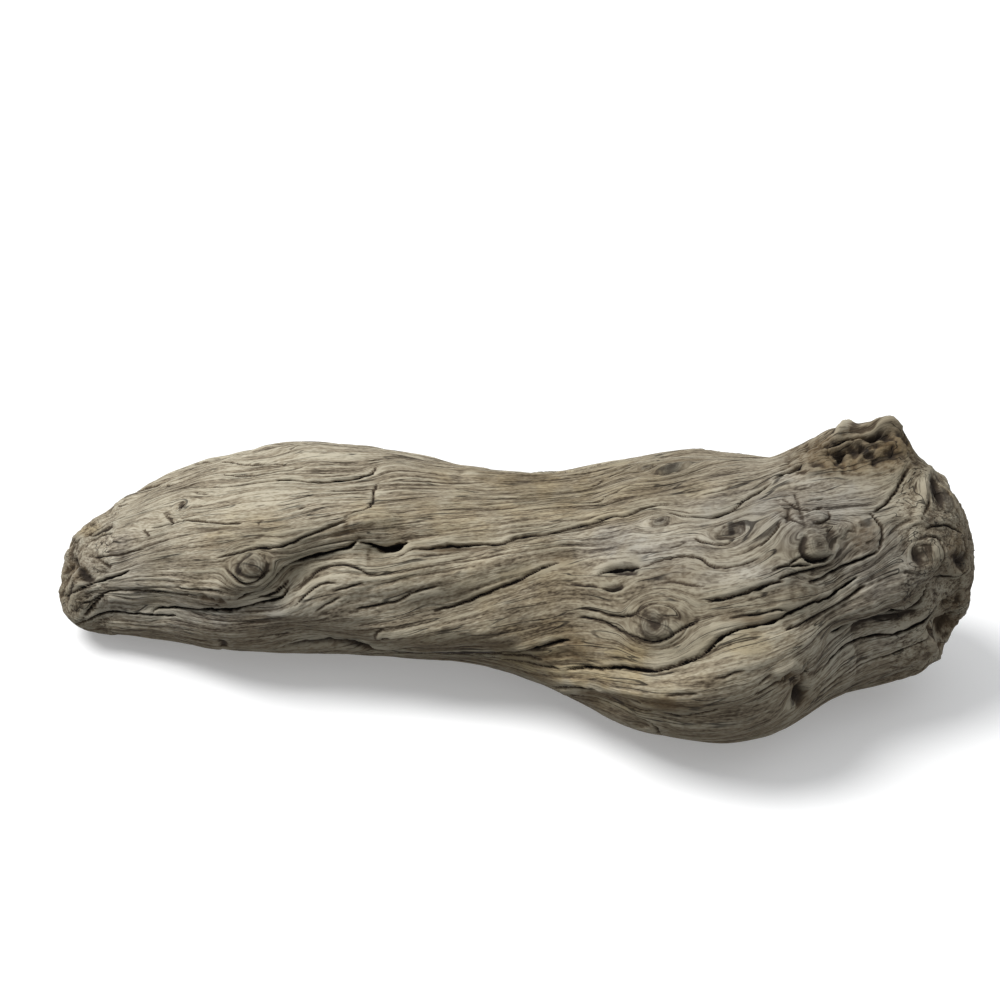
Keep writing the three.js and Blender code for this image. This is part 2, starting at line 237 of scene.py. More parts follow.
SWELLS = [
    Swell([(220, 97), (225, 103), (230, 107)], 3.5, 6),
    Swell([(251, 102), (256, 107), (262, 104)], 5, 7),
    Swell([(234, 104), (241, 105), (247, 106)], 4, -3),
    Swell([(243, 99), (250, 101), (255, 100)], 3.2, -9, 1.0),
    Swell([(262, 100), (268, 90), (266, 82)], 4.5, 3),
    Swell([(231, 92), (236, 90)], 3, -5, 0.8),
    Swell([(221, 88), (227, 86)], 3, -4, 0.6),
    Swell([(214, 93), (226, 95), (238, 96)], 3, 3),
    Swell([(257, 89), (262, 86)], 4, -4, 0.7),
    Swell([(246, 84), (252, 83)], 3.5, -3, 0.6),
    Swell([(240, 88), (244, 92)], 3, 3),
    Swell([(204, 83), (211, 81)], 3, -3, 0.6),
    Swell([(196, 79), (190, 77)], 2.6, -2, 0.5),
    Swell([(289, 70), (291, 64), (294, 58)], 4.6, -7, 1.0),
    Swell([(300, 67), (303, 60), (305, 54)], 3.5, -4, 0.9),
    Swell([(296, 78), (302, 70), (306, 62)], 5, 5),
    Swell([(286, 80), (284, 66), (279, 48), (273, 38)], 5, 3),
    Swell([(276, 20), (279, 14)], 3.2, -3, 0.8),
    Swell([(300, -26), (296, -30), (290, -33)], 6, -10),
    Swell([(288, -38), (290, -43), (289, -50)], 4.5, 4.5),
    Swell([(236, -31), (250, -26), (263, -24), (274, -20)], 2.2, -2, 1.0),
    Swell([(-300, 22), (-303, 10), (-307, -2)], 3, 2.5),
    Swell([(-284, 33), (-272, 38)], 2.2, -2, 0.8),
    Swell([(-176, 19), (-184, 14), (-186, 8), (-178, 4), (-168, 5), (-165, 12)], 1.6, -1.4, 0.7),
    Swell([(88, -30), (93, -38), (103, -38)], 1.8, -1.5, 0.6),
    Swell([(200, 30), (198, 22), (204, 16), (213, 17)], 1.8, -2, 0.8),
    Swell([(186, 56), (196, 52), (204, 50)], 1.4, -1.4, 0.6),
    Swell([(184, 46), (192, 44), (200, 40)], 1.4, -1.4, 0.6),
    Swell([(193, 60), (197, 50), (199, 42)], 1.2, -1.3, 0.6),
    Swell([(188, 42), (189, 52)], 1.2, -1.2, 0.6),
    Swell([(303, 18), (307, 14), (311, 18)], 4, -4, 0.9),
    Swell([(292, 22), (296, 14)], 6, 2.5),
    Swell([(-299, -2), (-303, -10)], 3.5, -3, 0.8),
    Swell([(-297, 14), (-291, 6), (-286, 2)], 3.4, -4, 0.9),
    Swell([(-300, 34), (-292, 30)], 4, 2),
    Swell([(-150, -44), (-130, -43), (-110, -45), (-96, -49)], 4, -5, 0.9),
    Swell([(-198, -45), (-178, -45), (-156, -45)], 2.6, -3, 0.9),
    Swell([(-94, -45), (-76, -47), (-48, -48), (-20, -48), (6, -47)], 2, -1.5, 1.0),
    Swell([(196, -72), (199, -80)], 4.5, -6, 1.0),
    Swell([(182, -62), (190, -57), (198, -58)], 4, 3),
    Swell([(-205, -6), (-196, -8), (-190, -12)], 4.5, 2.4),
    Swell([(70, 10), (84, 8)], 3, -3, 0.8),
    Swell([(66, -2), (74, -2)], 3, -3, 0.7),
    Swell([(92, -22), (99, -30), (103, -24)], 3, -2, 0.5),
    Swell([(140, -33), (170, -26), (205, -8), (236, 8)], 9, 3),
    Swell([(120, -14), (150, -3), (185, 6)], 7, 2),
    Swell([(-30, 8), (20, 26), (60, 34)], 8, 2),
    Swell([(-170, 26), (-140, 36), (-118, 44)], 7, 2),
    Swell([(235, -46), (262, -40), (285, -30)], 7, 2.5),
    Swell([(225, -22), (250, -12), (270, -6)], 7, 2.5),
]

# A patch fades out from its middle. at: the middle. reach: half its size along x and h. amount: how
# strong it is there, in millimetres of damage for CRUMBLED, and as a share for the stains and for the
# painted shade of the dim patches.
Patch = namedtuple("Patch", "at reach amount")

CRUMBLED = [
    Patch((235, 88), (34, 11), 5),
    Patch((262, 94), (14, 12), 4),
    Patch((200, 80), (15, 6), 2),
    Patch((-295, 8), (9, 7), 3),
    Patch((-304, -8), (6, 9), 1.5),
    Patch((-204, -10), (15, 6), 1.6),
    Patch((192, 52), (11, 9), 1.6),
    Patch((241, 32), (10, 9), 1.8),
    Patch((115, 8), (14, 9), 1.3),
    Patch((193, -65), (11, 8), 2.5),
    Patch((200, -74), (8, 8), 2),
    Patch((291, -48), (7, 13), 2),
    Patch((-247, 68), (9, 3), 1.5),
    Patch((-105, 35), (9, 7), 1.4),
    Patch((45, -45), (26, 10), 0.8),
]

OCHRE = [
    Patch((-290, 38), (14, 7), 0.8),
    Patch((-180, 35), (34, 16), 0.5),
    Patch((-93, 48), (26, 12), 0.6),
    Patch((-45, 44), (60, 20), 0.6),
    Patch((15, 52), (56, 15), 0.6),
    Patch((85, 66), (44, 14), 0.5),
    Patch((60, 45), (36, 10), 0.5),
    Patch((130, 64), (34, 9), 0.5),
    Patch((10, 25), (34, 9), 0.5),
    Patch((-60, 5), (30, 12), 0.3),
    Patch((262, 93), (22, 15), 0.8),
    Patch((232, 84), (30, 9), 0.6),
    Patch((68, -46), (36, 11), 0.9),
    Patch((20, -32), (36, 10), 0.7),
    Patch((165, -42), (36, 14), 0.6),
    Patch((120, -70), (44, 10), 0.5),
    Patch((-20, -35), (60, 14), 0.4),
    Patch((12, 70), (70, 26), 0.7),
    Patch((10, 5), (60, 30), 0.5),
    Patch((40, -55), (70, 20), 0.9),
    Patch((85, -84), (50, 12), 0.8),
]

GREY = [
    Patch((-265, 5), (30, 30), 0.5),
    Patch((-200, -20), (60, 12), 0.6),
    Patch((95, 24), (46, 18), 0.9),
    Patch((160, 8), (44, 12), 0.7),
    Patch((190, 48), (60, 26), 0.9),
    Patch((250, 10), (40, 40), 0.7),
    Patch((240, -45), (50, 20), 0.4),
]

# Patches of painted shade: the wood is darkened here to stand in for dimmer light.
PAINTED_SHADE_PATCHES = [
    Patch((-205, 8), (100, 28), 0.8),
    Patch((-150, 26), (52, 18), 0.75),
    Patch((-70, 10), (60, 20), 0.6),
    Patch((10, -18), (80, 30), 0.9),
    Patch((30, 30), (80, 22), 0.6),
    Patch((95, -8), (70, 28), 1.1),
    Patch((95, -40), (60, 18), 0.9),
    Patch((180, 26), (50, 24), 1.0),
    Patch((245, 82), (46, 24), 1.0),
    Patch((165, 55), (50, 18), 0.7),
    Patch((265, 20), (60, 34), 0.7),
    Patch((190, -10), (60, 18), 0.6),
    Patch((60, 84), (90, 13), 0.7),
    Patch((-295, -5), (24, 20), 0.8),
    Patch((30, 66), (60, 24), 0.6),
    Patch((100, 66), (50, 26), 0.6),
    Patch((20, 0), (60, 20), 0.9),
    Patch((60, -28), (60, 16), 1.1),
    Patch((165, 30), (30, 12), 0.6),
]

BROWN = [
    Patch((-40, 24), (26, 3), 0.9),
    Patch((25, 17), (18, 5), 0.5),
    Patch((-110, 34), (22, 9), 0.5),
    Patch((-90, 18), (15, 9), 0.4),
    Patch((-212, 26), (18, 6), 0.4),
    Patch((35, -45), (28, 13), 0.6),
    Patch((-175, -28), (26, 9), 0.35),
    Patch((163, -25), (28, 5), 0.7),
    Patch((108, -84), (22, 7), 0.7),
    Patch((60, -78), (34, 5), 0.6),
    Patch((300, 28), (8, 14), 0.5),
    Patch((272, -8), (10, 6), 0.5),
    Patch((255, -62), (24, 8), 0.3),
    Patch((130, 86), (30, 6), 0.5),
    Patch((-17, 77), (14, 4), 0.5),
    Patch((205, -8), (22, 8), 0.4),
    Patch((195, -78), (18, 10), 0.5),
]

PALE = [
    Patch((-232, 48), (44, 12), 0.6),
    Patch((-150, 60), (60, 14), 0.5),
    Patch((-200, 86), (40, 8), 0.4),
    Patch((92, 27), (20, 9), 0.9),
    Patch((150, 18), (30, 9), 0.6),
    Patch((175, 45), (12, 14), 0.4),
    Patch((225, 68), (34, 7), 0.6),
    Patch((-30, 55), (30, 12), 0.4),
    Patch((75, -33), (16, 4), 0.4),
    Patch((262, 40), (9, 30), 0.5),
    Patch((165, -42), (36, 22), 0.8),
]

# ------------------------------------------------------------------ the grid of the skin
# The skin is a grid: rows run round the log and spokes run along it. Between the ends a row starts
# as a cut square to X, and the rows of an end fan out from one point inside it.
ROWS = 241  # rows of the coarse grid, without the two poles
SPOKES = 320  # spokes of the coarse grid
TIP_CAP, TIP_ROWS = 0.045, 19  # how far inside the thin end its rows fan out from, and how many
BUTT_CAP, BUTT_ROWS = 0.065, 33  # the same at the thick end
CROWDING = 0.4  # how much closer the spokes stand on the front than on the average
FRONT = math.radians(40)  # where round the log they are closest: 0 is the front and 90 the top
ANGLE_STEPS = 4096  # how finely the turn of the spokes is worked out
AXIS_POINTS = 80  # points along the log's axis
AXIS_SLICE = 0.008  # how much of the log, to each side, one of those points is the middle of
AXIS_SMOOTHING = 30  # rounds of smoothing along the axis
SKIN_SMOOTHING = 20  # rounds of smoothing of the coarse grid
GAP_SMOOTHING = 3  # the same for the way back to the solid
FINE_SMOOTHING = 3  # the same for the fine grid
TAU = 2 * math.pi


def spoke_share(angle):
    """How far round the spokes an angle is, from 0 to 1."""
    return (angle + CROWDING * (np.sin(angle - FRONT) + math.sin(FRONT))) / TAU


class Layout:
    """Where the rows and spokes of the coarse grid stand, and which of them meets a point."""

    def __init__(self, corners):
        self.start = corners[:, 0].min() + TIP_CAP
        self.end = corners[:, 0].max() - BUTT_CAP
        self.last = ROWS - 1 - BUTT_ROWS
        fine = np.linspace(0, TAU, ANGLE_STEPS)
        self.angle = np.interp(np.arange(SPOKES) / SPOKES, spoke_share(fine), fine)
        self.stations = np.linspace(self.start, self.end, AXIS_POINTS)
        self.middles = np.array([self.middle_of(corners, x) for x in self.stations])
        for _ in range(AXIS_SMOOTHING):
            self.middles[1:-1] = (self.middles[:-2] + 2 * self.middles[1:-1] + self.middles[2:]) / 4

    @staticmethod
    def middle_of(corners, x):
        """The middle, across and upright, of the slice of the log at x."""
        near = corners[np.abs(corners[:, 0] - x) < AXIS_SLICE]
        return (near[:, 1:].min(0) + near[:, 1:].max(0)) / 2

    def axis(self, x):
        """The point of the log's axis at x, or its nearer end."""
        y = np.interp(x, self.stations, self.middles[:, 0])
        z = np.interp(x, self.stations, self.middles[:, 1])
        return np.stack([np.clip(x, self.start, self.end), y, z], -1)

    def rays(self):
        """Where the ray of each row and spoke starts and which way it runs."""
        row = np.arange(ROWS)
        tilt = np.clip((row - self.last) / (BUTT_ROWS + 1), 0, 1)
        tilt = (tilt - np.clip((TIP_ROWS - row) / (TIP_ROWS + 1), 0, 1)) * math.pi / 2
        starts = self.axis(np.interp(row, [TIP_ROWS, self.last], [self.start, self.end]))
        tilt = tilt[:, None] + 0 * self.angle
        across = np.cos(tilt)
        ways = [np.sin(tilt), -across * np.cos(self.angle), across * np.sin(self.angle)]
        return np.repeat(starts[:, None], SPOKES, 1), np.stack(ways, -1)

    def locate(self, points):
        """The row and the spoke, with fractions, at which the skin passes each point."""
        away = points - self.axis(points[..., 0])
        tilt = np.arctan2(away[..., 0], np.hypot(away[..., 1], away[..., 2])) * 2 / math.pi
        row = np.interp(points[..., 0], [self.start, self.end], [TIP_ROWS, self.last])
        row = row + tilt * np.where(tilt < 0, TIP_ROWS + 1, BUTT_ROWS + 1)
        turn = np.arctan2(away[..., 2], -away[..., 1]) % TAU
        return row, spoke_share(turn) * SPOKES


def relaxed(grid, times):
    """The grid with each point drawn towards its neighbours, across the poles too."""
    half = grid.shape[1] // 2
    for _ in range(times):
        before = np.concatenate([np.roll(grid[:1], half, 1), grid[:-1]])
        after = np.concatenate([grid[1:], np.roll(grid[-1:], half, 1)])
        grid = (2 * grid + (before + after + np.roll(grid, 1, 1) + np.roll(grid, -1, 1)) / 2) / 4
    return grid


def finer(grid):
    """The grid with a new row and a new spoke between each two."""
    rows = np.empty((2 * grid.shape[0] - 1, *grid.shape[1:]))
    rows[0::2] = grid
    rows[1::2] = (grid[:-1] + grid[1:]) / 2
    full = np.empty((rows.shape[0], 2 * rows.shape[1], *rows.shape[2:]))
    full[:, 0::2] = rows
    full[:, 1::2] = (rows + np.roll(rows, -1, 1)) / 2
    return full


def laid_on(grid, solid, passes=2):
    """The grid moved out or in, to lie closer to the solid again but without its sharp steps."""
    for _ in range(passes):
        normals = outward(grid)
        gap = np.zeros(grid.shape[:2])
        for index in np.ndindex(gap.shape):
            point = Vector(grid[index])
            spot = solid.find_nearest(point)[0]
            gap[index] = (spot - point).dot(Vector(normals[index]))
        grid = grid + normals * relaxed(gap, GAP_SMOOTHING)[..., None]
    return grid


def slopes(grid):
    """How the grid changes from row to row and from spoke to spoke."""
    along = np.gradient(grid, axis=0)
    across = (np.roll(grid, -1, 1) - np.roll(grid, 1, 1)) / 2
    return along, across


def unit(vectors):
    """The vectors at length 1."""
    return vectors / np.maximum(np.linalg.norm(vectors, axis=-1, keepdims=True), 1e-12)


def outward(grid):
    """Which way the skin faces at each point of the grid."""
    along, across = slopes(grid)
    return unit(np.cross(along, across))


# ------------------------------------------------------------------ noise
OCTAVE = 2.03  # how much finer each further layer of rough noise is


def scatter(x, y, z, seed):
    """A number from -1 to 1 for each whole-numbered place, the same every time."""
    n = (x * 73856093) ^ (y * 19349663) ^ (z * 83492791) ^ (seed * 40503)
    n = ((n ^ (n >> 13)) * 1274126177) & 0xFFFFFFFF
    n = ((n ^ (n >> 15)) * 668265263) & 0xFFFFFFFF
    return ((n >> 8) & 0xFFFF) / 32767.5 - 1


def noise(points, seed=0):
    """Smooth noise from -1 to 1 with one bump or hollow to each unit."""
    cell = np.floor(points).astype(np.int64)
    part = points - cell
    part = part * part * (3 - 2 * part)
    total = 0
    for corner in range(8):
        step = np.array([corner & 1, corner >> 1 & 1, corner >> 2])
        share = np.where(step, part, 1 - part).prod(-1)
        total = total + share * scatter(*np.moveaxis(cell + step, -1, 0), seed)
    return total


def rough_noise(points, octaves, seed=0):
    """Noise with finer and finer noise laid over it."""
    return sum(noise(points * OCTAVE**k, seed + k) / 2**k for k in range(octaves))


# ------------------------------------------------------------------ how the grain runs
SPARSE = (8, 4, 2, 1)  # every how many rows and spokes the fibres are wound on, in turn
EVENNESS = 0.12  # how much even spacing of the fibres counts against their heading
FIBRE_ROUNDS = 220  # rounds of the search on each of those grids


def cell_steps(values):
    """The change of a grid of values over each of its cells, row to row and spoke to spoke."""
    beside = np.roll(values, -1, 1)
    along = (values[1:] - values[:-1] + beside[1:] - beside[:-1]) / 2
    across = (beside[1:] - values[1:] + beside[:-1] - values[:-1]) / 2
    return along, across


def gather_steps(along, across):
    """The transpose of cell_steps."""
    out = np.zeros((along.shape[0] + 1, along.shape[1]))
    out[:-1] -= (along + across) / 2
    out[:-1] += np.roll((across - along) / 2, 1, 1)
    out[1:] += (along - across) / 2
    out[1:] += np.roll((along + across) / 2, 1, 1)
    return out


def cell_middles(grid):
    """The middle of each cell of a grid."""
    beside = np.roll(grid, -1, 1)
    return (grid[1:] + grid[:-1] + beside[1:] + beside[:-1]) / 4


def wind_fibres(grid, heading, angle, shift):
    """What to add to each spoke's angle for an angle that stays the same all along a fibre, starting
    from a first guess."""
    along, across = (np.stack(s, -1) for s in zip(*(cell_steps(grid[..., k]) for k in range(3))))
    size_a = (along * along).sum(-1)
    size_c = (across * across).sum(-1)
    skew = (along * across).sum(-1)
    area = np.maximum(size_a * size_c - skew * skew, 1e-16)

    def parts(way):
        a, c = (way * along).sum(-1), (way * across).sum(-1)
        return (size_c * a - skew * c) / area, (size_a * c - skew * a) / area

    with_grain = unit(cell_middles(heading))
    square = unit(np.cross(unit(np.cross(along, across)), with_grain))
    weight = area**0.25
    with_a, with_c = (weight * p for p in parts(with_grain))
    over_a, over_c = (weight * EVENNESS * p for p in parts(square))
    girth = np.linalg.norm(across, axis=-1).sum(1, keepdims=True)
    turn = np.diff(np.append(angle, TAU))[None] * np.ones_like(area)

    def forward(values):
        a, c = cell_steps(values)
        return with_a * a + with_c * c, over_a * a + over_c * c

    def backward(first, second):
        return gather_steps(with_a * first + over_a * second, with_c * first + over_c * second)

    target = backward(-with_c * turn, weight * EVENNESS * TAU / girth - over_c * turn)
    left = target - backward(*forward(shift))
    way = left.copy()
    size = (left * left).sum()
    for _ in range(FIBRE_ROUNDS):
        push = backward(*forward(way))
        step = size / max((way * push).sum(), 1e-30)
        shift += step * way
        left -= step * push
        new_size = (left * left).sum()
        way = left + new_size / max(size, 1e-30) * way
        size = new_size
    return shift


def fibre_shift(grid, heading, angle):
    """Winds the fibres on a sparse grid first, then on finer and finer ones."""
    shift = np.zeros(grid[::SPARSE[0], ::SPARSE[0]].shape[:2])
    for step in SPARSE:
        every = (slice(None, None, step),) * 2
        part = wind_fibres(grid[every], heading[every], angle[::step], shift)
        shift = finer(part)
    return part


# ------------------------------------------------------------------ places and paths on the skin
class Eye:
    """The camera's place, and the viewing plane through its target."""

    def __init__(self, stage):
        self.target = Vector(stage.target)
        self.back = Vector((0, -math.cos(stage.elevation), math.sin(stage.elevation)))
        self.up = Vector((0, math.sin(stage.elevation), math.cos(stage.elevation)))
        self.place = self.target + self.back * stage.distance

    def cast(self, solid, at):
        """The point of the solid that shows at a place (x, h) of the viewing plane."""
        goal = self.target + Vector((at[0] * MM, 0, 0)) + self.up * float(at[1] * MM)
        way = (goal - self.place).normalized()
        hit = solid.ray_cast(self.place, way)[0]
        return hit or solid.find_nearest(goal)[0]

    def trail(self, solid, path):
        """The points of the solid that show along a path of such places."""
        return np.array([self.cast(solid, at) for at in smooth_path(path)])

    def plane(self, points):
        """The places (x, h) of the viewing plane behind which the points lie."""
        ray = points - np.array(self.place)
        back = np.array(self.back)
        share = -np.dot(self.place - self.target, back) / (ray @ back)
        off = np.array(self.place) + ray * share[..., None] - np.array(self.target)
        return off[..., 0] / MM, off @ np.array(self.up) / MM

    def facing(self, points, normals):
        """How squarely the skin faces the eye, from -1 to 1."""
        return (unit(np.array(self.place) - points) * normals).sum(-1)


def smooth_path(path, pitch=2.5):
    """The path as a smooth curve, with a point about every pitch."""
    p = np.array([path[0], *path, path[-1]], float)
    out = []
    for a, b, c, d in zip(p, p[1:], p[2:], p[3:]):
        steps = max(1, round(np.linalg.norm(c - b) / pitch))
        t = (np.arange(steps) / steps)[:, None]
        curve = 2 * b + (c - a) * t + (2 * a - 5 * b + 4 * c - d) * t**2
        out.append((curve + (3 * b - a - 3 * c + d) * t**3) / 2)
    return np.concatenate([*out, p[-1:]])


class Skin:
    """A grid of points on the log's skin, and what is near a path on it."""

    def __init__(self, layout, points, scale):
        self.layout, self.points, self.scale = layout, points, scale
        self.normals = outward(points)
        along, across = slopes(points)
        self.row_pitch = np.median(np.linalg.norm(along, axis=-1))
        self.spoke_pitch = np.linalg.norm(across, axis=-1)

    def near(self, trail, reach):
        """The points within reach of a trail: their indices, how far off they are, above 0 on the
        trail's left as seen from outside, how far along it they are, from 0 to 1, and its direction."""
        rows, spokes = self.points.shape[:2]
        best = np.full((rows, spokes), np.inf)
        side, share = np.zeros((2, rows, spokes))
        which = np.zeros((rows, spokes), int)
        at = np.array(self.layout.locate(trail)) * self.scale
        count = max(1, len(trail) - 1)
        ways = np.diff(trail, axis=0) if len(trail) > 1 else np.zeros((1, 3))
        tall = int(reach / self.row_pitch) + 3
        for k in range(count):
            row = int(np.clip(round(at[0, k]), 0, rows - 1))
            spoke = int(round(at[1, k])) % spokes
            wide = int(min(spokes // 2 - 1, reach / self.spoke_pitch[row, spoke] + 4))
            index = np.ix_(
                np.arange(max(0, row - tall), min(rows, row + tall + 1)),
                np.arange(spoke - wide, spoke + wide + 1) % spokes,
            )
            away = self.points[index] - trail[k]
            t = np.clip(away @ ways[k] / max(ways[k] @ ways[k], 1e-12), 0, 1)
            gap = away - t[..., None] * ways[k]
            normal = self.normals[index]
            gap = gap - (gap * normal).sum(-1, keepdims=True) * normal * 0.8
            far = np.linalg.norm(gap, axis=-1)
            closer = far < best[index]
            hand = (np.cross(normal, ways[k]) * gap).sum(-1)
            best[index] = np.where(closer, far, best[index])
            side[index] = np.where(closer, hand, side[index])
            share[index] = np.where(closer, (k + t) / count, share[index])
            which[index] = np.where(closer, k, which[index])
        index = np.nonzero(best < reach)
        away = best[index] * np.where(side[index] < 0, -1, 1)
        return index, away, share[index], unit(ways[which[index]])


# ------------------------------------------------------------------ relief
CRACK_WIDTH = 0.46  # the open part of a crack, of its whole width
CRACK_TAPER = 7  # over how many millimetres a crack narrows to each end
STEP_BUILD = 40  # over how many millimetres at most the step beside a crack builds up
KNOT_REACH = 3  # how far out a knot changes the skin, of its own radius
RING_PITCH = 1.9  # millimetres from one ring of a knot to the next
RING_UNIT = 10  # millimetres from a knot's heart to one unit of the ring mark
NO_RING = 9.0  # the ring mark where there is no knot near


def soft_step(value, low, high):
    """0 below low and 1 above high, with a smooth rise between."""
    t = np.clip((value - low) / (high - low), 0, 1)
    return t * t * (3 - 2 * t)


class Relief:
    """What is laid on a skin: how far it is lifted and pushed, in millimetres, and its marks."""

    def __init__(self, skin):
        shape = skin.points.shape[:2]
        self.skin = skin
        self.lift, self.groove, self.line, self.knot, self.dark, self.crumble = np.zeros((6, *shape))
        self.ring = np.full(shape, NO_RING)
        self.push = np.zeros((*shape, 3))

    def cut(self, crack, trail, seed):
        """Opens a crack along a trail."""
        length = np.linalg.norm(np.diff(trail, axis=0), axis=1).sum() / MM
        reach = max(7 + 8 * crack.step, 4 * crack.wide + 5)
        index, away, share, way = self.skin.near(trail, reach * MM)
        far = away / MM
        from_end = np.minimum(share, 1 - share) * length
        taper = np.clip(from_end / CRACK_TAPER, 0, 1) ** 0.7
        points = self.skin.points[index] / MM
        far = far + 0.5 * noise(points / 3.4, seed + 500)
        waver = 0.5 * noise(points / 7, seed) + 0.3 * noise(points / 2.5, seed + 900)
        wide = crack.wide * CRACK_WIDTH * taper * (1 + waver)
        groove = -0.8 * crack.deep * taper * np.exp(-((far / np.maximum(1.2 * wide, 0.75)) ** 2))
        lip = 0.2 * wide * np.exp(-(((np.abs(far) - 2.2 * wide) / (0.9 * wide + 0.6)) ** 2))
        under = 0.5 - 0.5 * np.tanh(away / MM / (0.5 * wide + 1.0))
        fall = np.exp(-((far / (5 * crack.step + 4)) ** 2))
        up = unit(np.cross(self.skin.normals[index], way))
        self.groove[index] = np.minimum(self.groove[index], groove)
        build = soft_step(from_end, 0, min(0.35 * length, STEP_BUILD))
        self.lift[index] += lip + crack.step * build * fall * (0.2 - 1.2 * under)
        # Painted shadow: the wood under a stepped crack is marked dark, as the shadow of the step.
        shade = build * under * np.exp(-((far / (0.45 * crack.step + 0.7)) ** 2))
        shade = shade * min(1, 0.3 * crack.step)
        self.dark[index] = np.maximum(self.dark[index], 0.8 * shade)
        hang = 0.45 * crack.over * taper * (1 - under) * np.exp(-((far / 2.5) ** 2))
        self.push[index] -= up * hang[..., None]
        line = 0.5 * np.exp((wide**2 - far**2) / (0.78 + 0.5 * wide) ** 2)
        line *= 0.6 + 0.4 * np.clip(from_end / 3, 0, 1)
        self.line[index] = np.maximum(self.line[index], line)

    def swell(self, swell, trail, seed):
        """Raises a ridge or sinks a hollow along a trail."""
        index, away, share, _ = self.skin.near(trail, 2.4 * swell.wide * MM)
        far = away / MM + 0.25 * swell.wide * noise(self.skin.points[index] / (4 * MM), seed)
        shape = np.exp(-((far / swell.wide) ** 2)) * (0.7 + 0.3 * np.sin(share * math.pi))
        self.lift[index] += swell.rise * shape
        # Painted shade along the swell, in its hollow or under a lip.
        self.dark[index] = np.maximum(self.dark[index], swell.dark * shape)

    def grow(self, knot, middle, seed):
        """Sets a knot at a point."""
        index, away, _, _ = self.skin.near(middle[None], KNOT_REACH * knot.size * MM)
        waver = rough_noise(self.skin.points[index] / (0.9 * knot.size * MM), 2, seed)
        far = np.abs(away) / MM * (1 + 0.24 * waver)
        inside = 1 - soft_step(far, 0.85 * knot.size, 1.15 * knot.size)
        rings = 0.2 * min(1, 1.6 * knot.dark) * np.sin(far * TAU / RING_PITCH) * inside
        swell = knot.rise * np.exp(-((far / (1.1 * knot.size)) ** 3))
        pit = -knot.pit * np.exp(-((far / (0.35 * knot.size)) ** 2))
        edge = -0.7 * min(1, 2 * knot.dark) * np.exp(-(((far - knot.size) / 0.9) ** 2))
        self.lift[index] += swell + pit + rings + edge
        self.knot[index] = np.maximum(self.knot[index], inside * min(1, 1.6 * knot.dark))
        self.ring[index] = np.minimum(self.ring[index], far / RING_UNIT)
        heart = np.exp(-((far / (0.55 * knot.size)) ** 2))
        self.dark[index] = np.maximum(self.dark[index], knot.dark * (0.45 * inside + 0.55 * heart))

    def crumbled(self, amount):
        """Breaks the skin up where amount, in millimetres, is above 0."""
        points = self.skin.points / MM
        broken = 1 - np.abs(rough_noise(points / 7, 3, 70)) * 1.6
        pits = soft_step(noise(points / 4.2, 75), 0.15, 0.6)
        self.lift += amount * (0.5 * broken - 0.4 - 0.7 * pits)
        self.dark = np.maximum(self.dark, np.clip(amount / 3, 0, 1) * pits * 0.7)
        self.crumble = np.maximum(self.crumble, np.clip(amount / 2.5, 0, 1))


def patches(places, list_of_patches, seed, points):
    """How strong some patches are at the places (x, h), with ragged edges."""
    x, h = places
    warp = rough_noise(points / (14 * MM), 3, seed)
    total = np.zeros(x.shape)
    for patch in list_of_patches:
        far = ((x - patch.at[0]) / patch.reach[0]) ** 2 + ((h - patch.at[1]) / patch.reach[1]) ** 2
        total = np.maximum(total, patch.amount * np.exp(-np.clip(far + 0.7 * warp, 0, 40)))
    return total


# ------------------------------------------------------------------ the log
SPIRAL = 0.42  # how steeply the fibres climb round the log's middle
SPIRAL_FROM, SPIRAL_TO, SPIRAL_FADE = -0.11, 0.07, 0.04  # from and to where they climb, and the fade
PULL, PULL_WIDTH, PULL_REACH = 3, 8, 18  # how strongly, and over how many millimetres, a crack leads them
HEADING_SMOOTHING = 12  # rounds of smoothing of the way they run
PARTING, PARTING_NEAR, PARTING_FAR = 0.85, 2, 3.2  # how far they part at a knot, and where it fades, in radii
PARTING_GIRTH = 0.075  # the radius at which that parting is counted as an angle
GRAIN_GIRTH = 0.095  # the radius at which the fibres' angle is counted as a width
POLE_RISE = 0.4 * MM  # how far the two poles of the grid stand out
# The kinds of stain, and last the dim patches, which are painted shade.
STAIN_AND_SHADE_KINDS = (OCHRE, BROWN, PALE, GREY, PAINTED_SHADE_PATCHES)
HIDDEN_SEED = 11
HIDDEN_CRACKS = 84
HIDDEN_LONG = (10, 62)  # rows of the coarse grid that one of them may cross
HIDDEN_DRIFT = 0.0016  # how far one turns off its fibre from row to row
HIDDEN_GAP = 9  # the widest gap in millimetres between two points of one
HIDDEN_KNOTS = [  # at: how far along the log, in metres, and degrees round it from the front
    Knot((-0.205, 200), 7, 1.5, 1, 0.5),
    Knot((-0.07, 235), 11, 3, 0.5, 0.3),
    Knot((0.030, 160), 8, 1, 1.5, 0.6),
    Knot((0.172, 158), 13, 0, 3, 0.7),
    Knot((0.120, 215), 6, 0.5, 2, 0.8),
    Knot((-0.140, 150), 5, 0.5, 1.5, 0.7),
    Knot((0.245, 190), 9, 2, 1, 0.4),
    Knot((0.010, 290), 7, 1, 1, 0.5),
]


def read_solid():
    """The log's solid, for rays, and its corners."""
    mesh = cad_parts["driftwood"].data
    corners = np.empty(len(mesh.vertices) * 3)
    mesh.vertices.foreach_get("co", corners)
    corners = corners.reshape(-1, 3)
    faces = [tuple(face.vertices) for face in mesh.polygons]
    return BVHTree.FromPolygons([Vector(c) for c in corners], faces), corners


def cast_grid(layout, solid):
    """The coarse grid: where each ray leaves the solid."""
    starts, ways = layout.rays()
    grid = np.empty(starts.shape)
    for index in np.ndindex(grid.shape[:2]):
        start, way = Vector(starts[index]), Vector(ways[index])
        grid[index] = solid.ray_cast(start, way)[0] or solid.find_nearest(start + way * 0.05)[0]
    return grid


